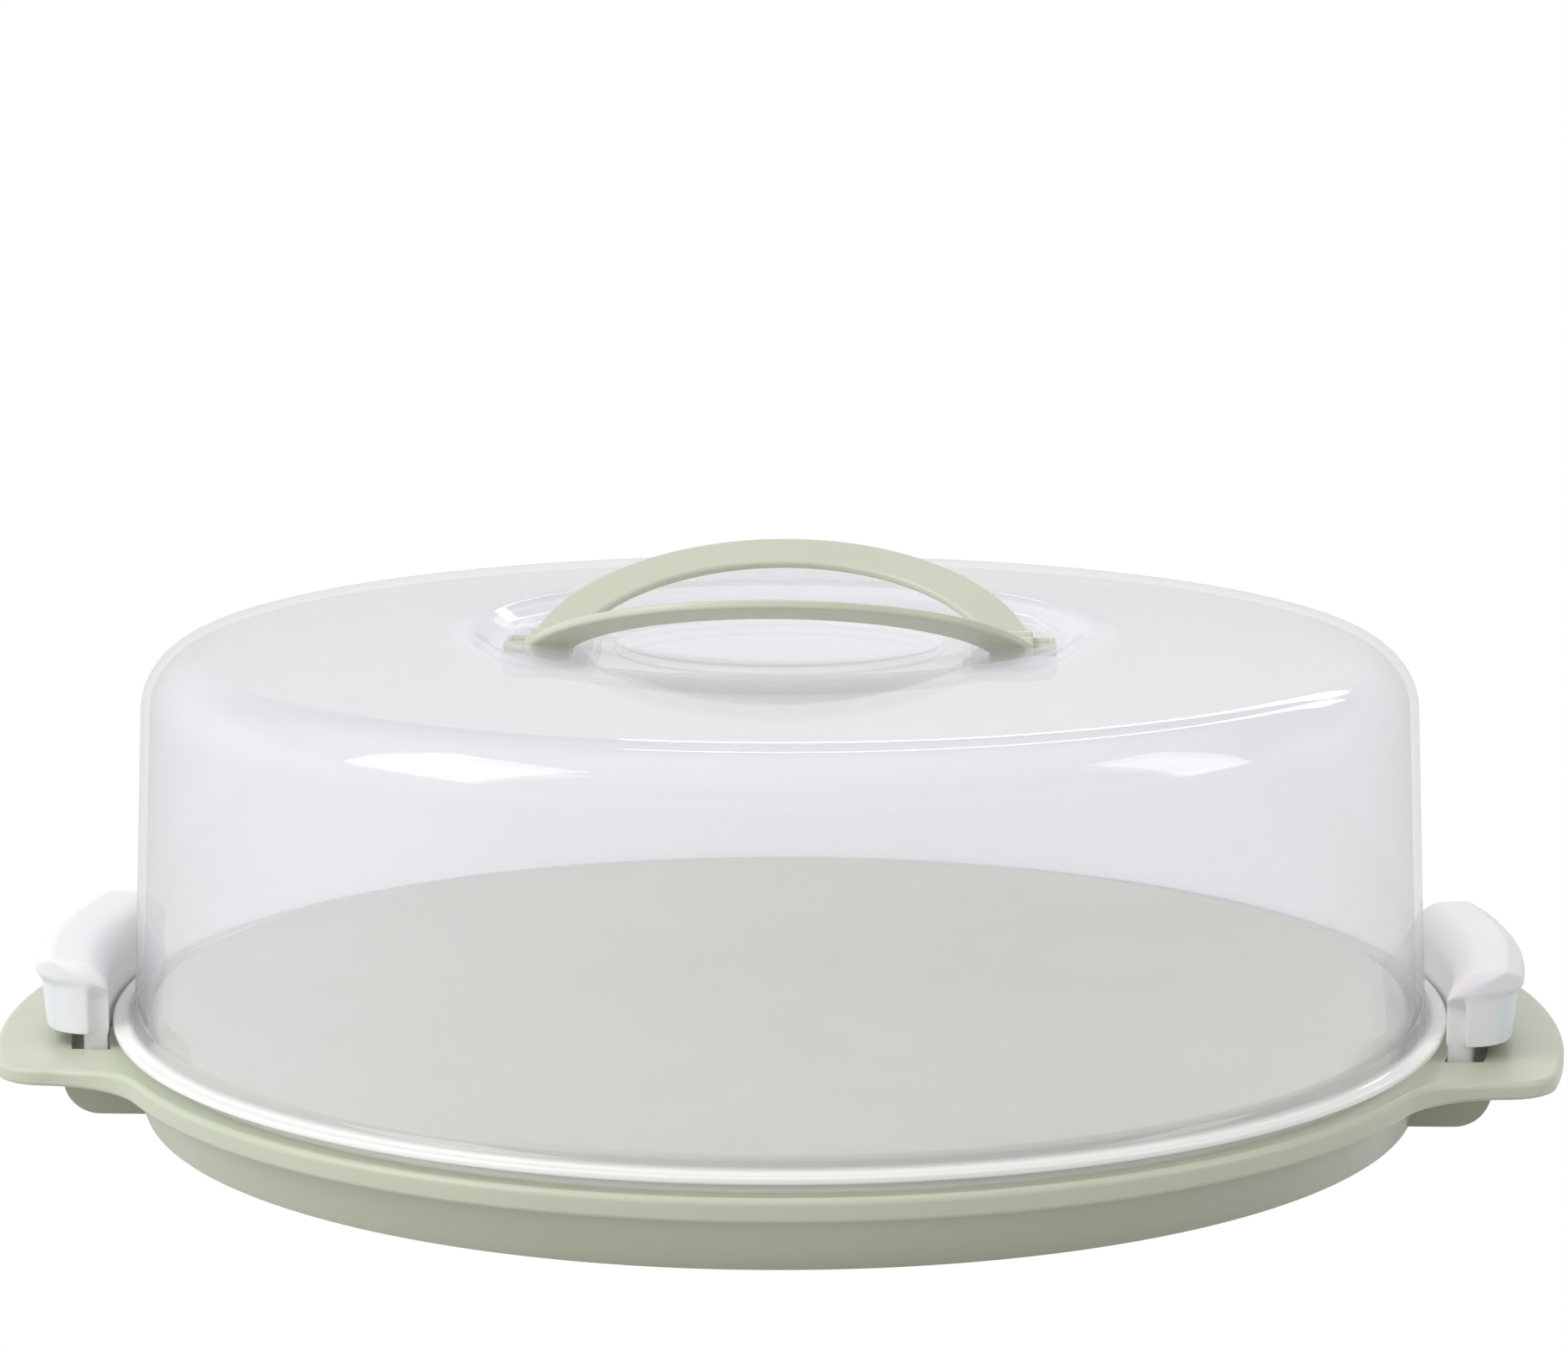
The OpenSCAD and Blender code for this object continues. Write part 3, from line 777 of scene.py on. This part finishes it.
def make_world():
    """A pale studio: light that is softly brighter from the front and the left, under a greyer ceiling."""
    world = bpy.data.worlds.new("pale studio")
    world.use_nodes = True
    tree = world.node_tree
    nodes, links = tree.nodes, tree.links
    parts = direction_parts(tree)
    light = None
    for axis, share in (("X", -0.46), ("Y", -0.24), ("Z", 0.06)):
        step = nodes.new("ShaderNodeMath")
        step.operation = "MULTIPLY_ADD"
        links.new(parts.outputs[axis], step.inputs[0])
        step.inputs[1].default_value = share
        if light:
            links.new(light.outputs["Value"], step.inputs[2])
        else:
            step.inputs[2].default_value = 0.70
        light = step
    ceiling = nodes.new("ShaderNodeMapRange")
    ceiling.inputs["From Min"].default_value = 0.32
    ceiling.inputs["From Max"].default_value = 0.55
    ceiling.inputs["To Min"].default_value = 1.0
    ceiling.inputs["To Max"].default_value = 0.4
    links.new(parts.outputs["Z"], ceiling.inputs["Value"])
    ray = nodes.new("ShaderNodeLightPath")
    seen = nodes.new("ShaderNodeMix")
    links.new(ray.outputs["Is Glossy Ray"], seen.inputs["Factor"])
    links.new(light.outputs["Value"], seen.inputs["A"])
    links.new(ceiling.outputs["Result"], seen.inputs["B"])
    white = nodes.new("ShaderNodeMix")
    links.new(ray.outputs["Is Camera Ray"], white.inputs["Factor"])
    links.new(seen.outputs["Result"], white.inputs["A"])
    white.inputs["B"].default_value = 1
    links.new(white.outputs["Result"], nodes["Background"].inputs["Strength"])
    nodes["Background"].inputs["Color"].default_value = (1, 1, 1, 1)
    bpy.context.scene.world = world


def make_floor():
    """A white floor: it lights the object from below as paper does, and stays white in the picture."""
    bm = bmesh.new()
    bmesh.ops.create_grid(bm, x_segments=2, y_segments=2, size=30)
    mesh = bpy.data.meshes.new("floor")
    bm.to_mesh(mesh)
    bm.free()
    floor = bpy.data.objects.new("floor", mesh)
    bpy.context.scene.collection.objects.link(floor)
    floor.location.z = -0.2 * MM
    paper = bpy.data.materials.new("white floor")
    paper.use_nodes = True
    nodes, links = paper.node_tree.nodes, paper.node_tree.links
    shader = nodes["Principled BSDF"]
    shader.inputs["Base Color"].default_value = (0.5, 0.5, 0.5, 1)
    shader.inputs["Roughness"].default_value = 1
    glow = nodes.new("ShaderNodeEmission")
    ray = nodes.new("ShaderNodeLightPath")
    seen = nodes.new("ShaderNodeMath")
    seen.operation = "MAXIMUM"
    links.new(ray.outputs["Is Camera Ray"], seen.inputs[0])
    links.new(ray.outputs["Is Glossy Ray"], seen.inputs[1])
    mix = nodes.new("ShaderNodeMixShader")
    links.new(seen.outputs["Value"], mix.inputs["Fac"])
    links.new(shader.outputs["BSDF"], mix.inputs[1])
    links.new(glow.outputs["Emission"], mix.inputs[2])
    links.new(mix.outputs["Shader"], nodes["Material Output"].inputs["Surface"])
    mesh.materials.append(paper)


def make_studio():
    """A white floor under a pale studio, with a softbox on each side and a strip behind."""
    bpy.context.scene.view_settings.view_transform = "Standard"
    make_world()
    make_floor()
    add_softbox("left softbox", (-0.72, -0.32, 0.79), (0, 0, 0.08), (0.50, 0.60), 4.0)
    add_softbox("right softbox", (0.90, -0.15, 0.66), (0, 0, 0.08), (0.30, 0.62), 2.0)
    add_softbox("rear strip", (0.30, 1.5, 0.84), (0, 0, 0.1), (1.0, 0.14), 2.0)


make_camera()
make_studio()
surface = moulded_surface_group()
sage = moulded("sage plastic", surface, (0.56, 0.60, 0.47), 0.03, (0.32, 0.42), 2600, 0.006 * MM)
sage_bow = moulded("sage handle plastic", surface, (0.58, 0.61, 0.49), 0.02, (0.28, 0.36), 2600, 0.004 * MM)
frosted = moulded(
    "frosted clip plastic", surface, (0.82, 0.82, 0.84), 0.02, (0.38, 0.48), 3000, 0.005 * MM,
    subsurface_weight=0.25, subsurface_scale=0.004,
)
clear = clear_plastic(surface)

make_tray(sage)
make_lid(clear)
make_handle("handle_bow_rear", "rear_handle", "handle_rear", 1, sage_bow)
make_handle("handle_bow_front", "front_handle", "handle_front", -1, sage_bow)
make_clip("side_clip_right", "right_clip", "clip_right", frosted)
make_clip("side_clip_left", "left_clip", "clip_left", frosted)
